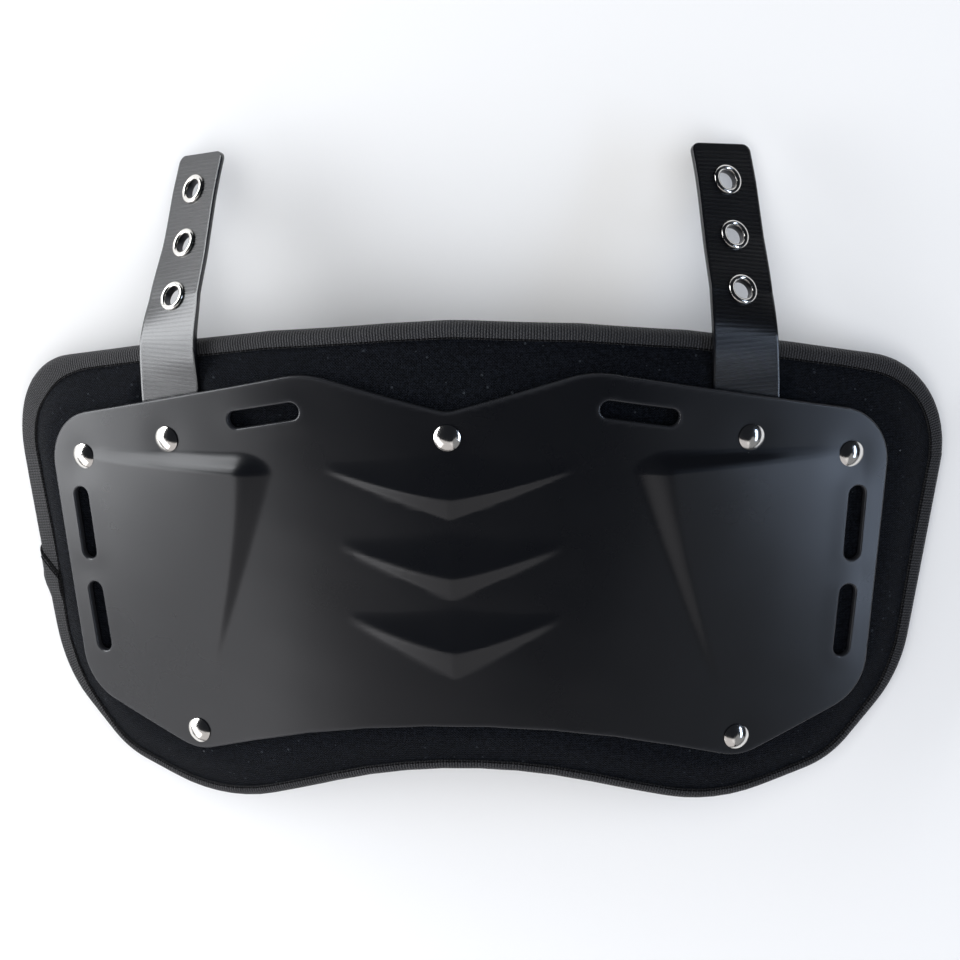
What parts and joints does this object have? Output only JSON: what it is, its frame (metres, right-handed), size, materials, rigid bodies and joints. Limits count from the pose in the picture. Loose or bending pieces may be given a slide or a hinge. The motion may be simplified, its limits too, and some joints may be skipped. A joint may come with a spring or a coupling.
{
  "type": "football back plate",
  "caption": "Arched moulded plastic back plate riveted to a bound foam pad, with two ribbed eyelet straps that hang it from shoulder pads to guard the lower back.",
  "frame": {"origin": "middle of the bottom of the box round the part as it lies on a table, hollow side down", "axes": "+X to the right seen from the face with the straps up, +Y towards the straps, +Z out of the face"},
  "size_m": [0.3966, 0.2754, 0.077],
  "materials": {
    "pad": "fine dark knit over foam",
    "binding": "woven ribbed tape",
    "plate": "satin black",
    "strap": "ribbed coated webbing",
    "metal": "polished nickel"
  },
  "bodies": {
    "root": {"pad": "pad", "binding": "binding", "plate": "plate", "strap_right": "strap", "strap_left": "strap", "eyelet_right_1": "metal", "eyelet_right_2": "metal", "eyelet_right_3": "metal", "eyelet_left_1": "metal", "eyelet_left_2": "metal", "eyelet_left_3": "metal", "rivet_outer_left": "metal", "rivet_outer_right": "metal", "rivet_strap_left": "metal", "rivet_strap_right": "metal", "rivet_lower_left": "metal", "rivet_lower_right": "metal", "rivet_centre": "metal"}
  },
  "joints": []
}
